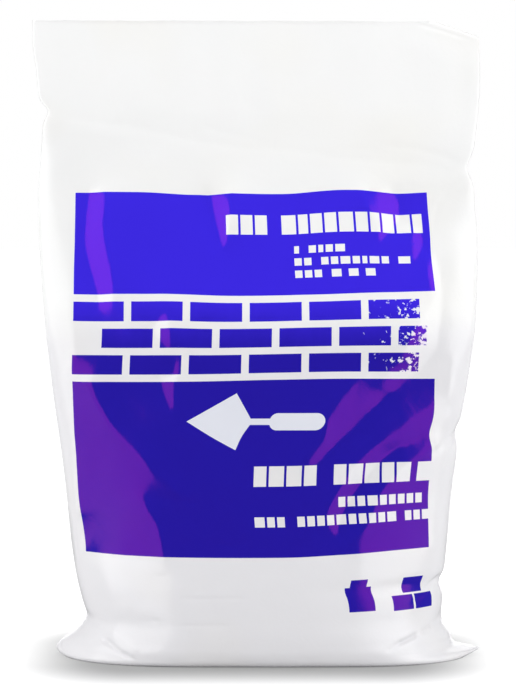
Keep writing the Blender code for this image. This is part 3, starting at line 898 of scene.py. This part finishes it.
# Lighter blue above a ragged line in the upper panel: a painted highlight for the top light on the leaning
# upper part
drift = add_node(
    tree,
    "ShaderNodeMath",
    {"operation": "MULTIPLY_ADD", 1: 12.0},
    {0: density.outputs["Fac"], 2: axes.outputs["Y"]},
)
painted_top_light = add_node(
    tree,
    "ShaderNodeMapRange",
    {"interpolation_type": "SMOOTHSTEP", "From Min": 154.0, "From Max": 188.0},
    {"Value": drift},
)
solid = add_node(
    tree,
    "ShaderNodeMix",
    {"data_type": "RGBA", 6: linear("#1E1BA5"), 7: linear("#382AE2")},
    {0: painted_top_light.outputs[0]},
)
colour = add_node(
    tree,
    "ShaderNodeMix",
    {"data_type": "RGBA", 7: linear("#E9ECF4")},
    {0: results["bare"], 6: solid.outputs[2]},
)
rubbed = add_node(
    tree,
    "ShaderNodeMapRange",
    {"From Min": 0.3, "From Max": 0.7, "To Min": 0.10, "To Max": 0.17},
    {"Value": density.outputs["Fac"]},
)
shader = add_node(
    tree,
    "ShaderNodeBsdfPrincipled",
    {"IOR": 1.51, "Specular Tint": (1.0, 0.05, 0.65, 1.0)},
    {"Base Color": colour.outputs[2], "Roughness": rubbed.outputs[0], "Normal": film_wrinkles(tree, film_mm)},
)
tree.links.new(shader.outputs[0], output.inputs["Surface"])

mesh.materials.append(film)
mesh.materials.append(ink)
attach(bag, "root")
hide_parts("film_sack")


# The cement: 3 kg of fine grey powder, filled dry and shaken down, so it fills the sack to its skin and ends
# in a slope under the flap. The film hides it. It follows every dent of the film, a millimetre inside it.
POWDER_GAP, FLOOR_GAP = 1.1, 2.0
POWDER_LEFT, POWDER_RIGHT = 262.0, 234.0
PLY_COLUMNS, POWDER_ROWS, ROW_CROWDING = 45, 60, 1.3
# It doesn't reach into the two welded ears: this much less at this half width, near the floor
CORNER_CLEAR, CORNER_REACH = 9.0, 90.0

columns = np.concatenate(
    [
        np.round(np.linspace(0, LAST_FRONT, PLY_COLUMNS)).astype(int),
        np.round(np.linspace(LAST_FRONT, ring, PLY_COLUMNS)).astype(int)[1:-1],
    ]
)
inner = skin - normals_of(skin) * POWDER_GAP
top = POWDER_LEFT + (POWDER_RIGHT - POWDER_LEFT) * ring_share
share = np.linspace(0.0, 1.0, POWDER_ROWS) ** ROW_CROWDING
rows_at = np.array([np.interp(share * top[c], ROWS, np.arange(len(ROWS))) for c in columns]).T
lower = np.minimum(rows_at.astype(int), len(ROWS) - 2)
part = (rows_at - lower)[..., None]
powder_grid = (1 - part) * inner[lower, columns] + part * inner[lower + 1, columns]
powder_grid[..., 2] = np.maximum(powder_grid[..., 2], FLOOR_GAP)
reach = np.abs(powder_grid[..., 0]) / CORNER_REACH
drawn_in = CORNER_CLEAR * reach**4 * (1 - ease(8.0, HEEL_TOP, powder_grid[..., 2]))
powder_grid[..., 0] -= np.sign(powder_grid[..., 0]) * drawn_in
around = len(columns)
bridge = np.arange(1, PLY_COLUMNS - 2)
base_quads = np.stack([bridge, around - bridge, around - bridge - 1, bridge + 1], axis=-1)
# A triangle closes the base at each side fold
base_ends = np.array([[0, around - 1, 1], [PLY_COLUMNS - 2, PLY_COLUMNS, PLY_COLUMNS - 1]])
last_row = (POWDER_ROWS - 1) * around
powder_quads = np.concatenate([wall_faces(POWDER_ROWS, around), base_quads, base_quads[:, ::-1] + last_row])
powder_ends = np.concatenate([base_ends, base_ends[:, ::-1] + last_row])
powder_mesh = bpy.data.meshes.new("cement_powder")
powder_faces = powder_quads.tolist() + powder_ends.tolist()
powder_mesh.from_pydata((powder_grid.reshape(-1, 3) * MM).tolist(), [], powder_faces)
powder_mesh.shade_smooth()
cement = add_object("cement_powder", powder_mesh)

# Portland cement, ground to about 0.02 mm: no gloss at all, so the rough end of the scale. Its grain is far
# too fine to show, so it is drawn as 1.5 mm crumbs and 12 mm soft lumps.
powder, tree, output = new_material("portland_cement_powder")
place = add_node(tree, "ShaderNodeTexCoord")
lumps = add_node(
    tree, "ShaderNodeTexNoise", {"Scale": 80.0, "Detail": 4.0}, {"Vector": place.outputs["Object"]}
)
crumbs = add_node(
    tree, "ShaderNodeTexNoise", {"Scale": 650.0, "Detail": 2.0}, {"Vector": place.outputs["Object"]}
)
mottle = add_node(
    tree,
    "ShaderNodeMix",
    {"data_type": "RGBA", 6: linear("#A09F99"), 7: linear("#86857F")},
    {0: lumps.outputs["Fac"]},
)
relief = add_node(
    tree, "ShaderNodeBump", {"Strength": 0.6, "Distance": 0.0006}, {"Height": crumbs.outputs["Fac"]}
)
shader = add_node(
    tree,
    "ShaderNodeBsdfPrincipled",
    {"Roughness": 0.95, "Specular IOR Level": 0.2, "IOR": 1.5},
    {"Base Color": mottle.outputs[2], "Normal": relief},
)
tree.links.new(shader.outputs[0], output.inputs["Surface"])
powder_mesh.materials.append(powder)
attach(cement, "root")
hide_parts("cement_fill")


# The studio: a plain pale floor that runs out into a white surround. It isn't part of the bag. To the camera
# it glows like a lit sweep, and less so near a small box under the bag's middle, which gives the bag its soft
# shade. To all other light it is a dull sheet. The box's half sizes and the shade's ends are in metres.
SHADE_BOX = (0.06, 0.028, 0.0)
SHADE_FROM, SHADE_TO = 0.014, 0.072
floor_mesh = bpy.data.meshes.new("floor")
floor_mesh.from_pydata([(-8, -8, 0), (8, -8, 0), (8, 8, 0), (-8, 8, 0)], [], [(0, 1, 2, 3)])
floor = add_object("floor", floor_mesh)
pale, tree, output = new_material("pale_matt_floor")
place = add_node(tree, "ShaderNodeTexCoord")
from_middle = add_node(tree, "ShaderNodeVectorMath", {"operation": "ABSOLUTE"}, {0: place.outputs["Object"]})
past_box = add_node(tree, "ShaderNodeVectorMath", {"operation": "SUBTRACT", 1: SHADE_BOX}, {0: from_middle})
outside = add_node(tree, "ShaderNodeVectorMath", {"operation": "MAXIMUM", 1: (0.0, 0.0, 0.0)}, {0: past_box})
distance = add_node(tree, "ShaderNodeVectorMath", {"operation": "LENGTH"}, {0: outside})
glow = add_node(
    tree,
    "ShaderNodeMapRange",
    {"interpolation_type": "SMOOTHSTEP", "From Min": SHADE_FROM, "From Max": SHADE_TO, "To Min": 0.25},
    {"Value": distance.outputs["Value"]},
)
shader = add_node(
    tree,
    "ShaderNodeBsdfPrincipled",
    {
        "Base Color": linear("#7C7C7C"),
        "Roughness": 0.9,
        "Specular IOR Level": 0.0,
        "Emission Color": (1, 1, 1, 1),
    },
    {"Emission Strength": glow.outputs[0]},
)
dull = add_node(tree, "ShaderNodeBsdfDiffuse", {"Color": (0.65, 0.65, 0.65, 1.0)})
seen = add_node(tree, "ShaderNodeLightPath")
mixed = add_node(tree, "ShaderNodeMixShader", {}, {0: seen.outputs["Is Camera Ray"], 1: dull, 2: shader})
tree.links.new(mixed.outputs[0], output.inputs["Surface"])
floor_mesh.materials.append(pale)
floor.visible_glossy = False

world = bpy.data.worlds.new("studio")
bpy.context.scene.world = world
world.use_nodes = True
tree = world.node_tree
tree.nodes.clear()
output = tree.nodes.new("ShaderNodeOutputWorld")
seen = add_node(tree, "ShaderNodeLightPath")
white = add_node(tree, "ShaderNodeBackground", {"Color": (1.0, 1.0, 1.0, 1.0)})
soft = add_node(tree, "ShaderNodeBackground", {"Color": (0.94, 0.95, 1.0, 1.0), "Strength": 0.19})
mixed = add_node(tree, "ShaderNodeMixShader", {}, {0: seen.outputs["Is Camera Ray"], 1: soft, 2: white})
tree.links.new(mixed.outputs[0], output.inputs["Surface"])


def softbox(name, place, aim, size, watts, mirrored=True):
    """A rectangular area light at place, turned to aim, both in metres. It can be kept out of reflections."""
    light = bpy.data.lights.new(name, "AREA")
    light.shape = "RECTANGLE"
    light.size, light.size_y = size
    light.energy = watts
    holder = add_object(name, light)
    holder.location = place
    holder.rotation_euler = (Vector(aim) - Vector(place)).to_track_quat("-Z", "Y").to_euler()
    holder.visible_glossy = mirrored


# One above, two tall ones at the front sides, which the film's facets mirror, one behind, and two low fills
softbox("top_softbox", (0.0, 0.0, 1.3), (0.0, 0.0, 0.0), (0.9, 0.6), 6.65)
softbox("left_softbox", (-1.03, -0.75, 0.42), (0.0, 0.0, 0.42), (0.98, 1.55), 11.4)
softbox("right_softbox", (1.03, -0.75, 0.42), (0.0, 0.0, 0.42), (0.98, 1.55), 11.4)
softbox("back_softbox", (0.0, 1.15, 0.4), (0.0, 0.0, 0.16), (1.6, 1.1), 7.5)
softbox("left_fill", (-1.1, -0.1, 0.35), (0.0, 0.0, 0.2), (0.7, 0.7), 3.75, False)
softbox("right_fill", (1.1, -0.1, 0.35), (0.0, 0.0, 0.2), (0.7, 0.7), 3.75, False)

# The camera stands 1.3 m in front of the bag and looks down on it by 3.5 degrees
CAMERA_AIM = (0.0008, 0.0056, 0.154)
CAMERA_DISTANCE, CAMERA_DOWN = 1.3, math.radians(3.5)
camera = bpy.data.cameras.new("camera")
camera.lens, camera.sensor_width = 137.2, 36.0
holder = add_object("camera", camera)
holder.location = (
    CAMERA_AIM[0],
    CAMERA_AIM[1] - CAMERA_DISTANCE * math.cos(CAMERA_DOWN),
    CAMERA_AIM[2] + CAMERA_DISTANCE * math.sin(CAMERA_DOWN),
)
holder.rotation_euler = (math.radians(90) - CAMERA_DOWN, 0.0, 0.0)
bpy.context.scene.camera = holder
bpy.context.scene.view_settings.view_transform = "Standard"
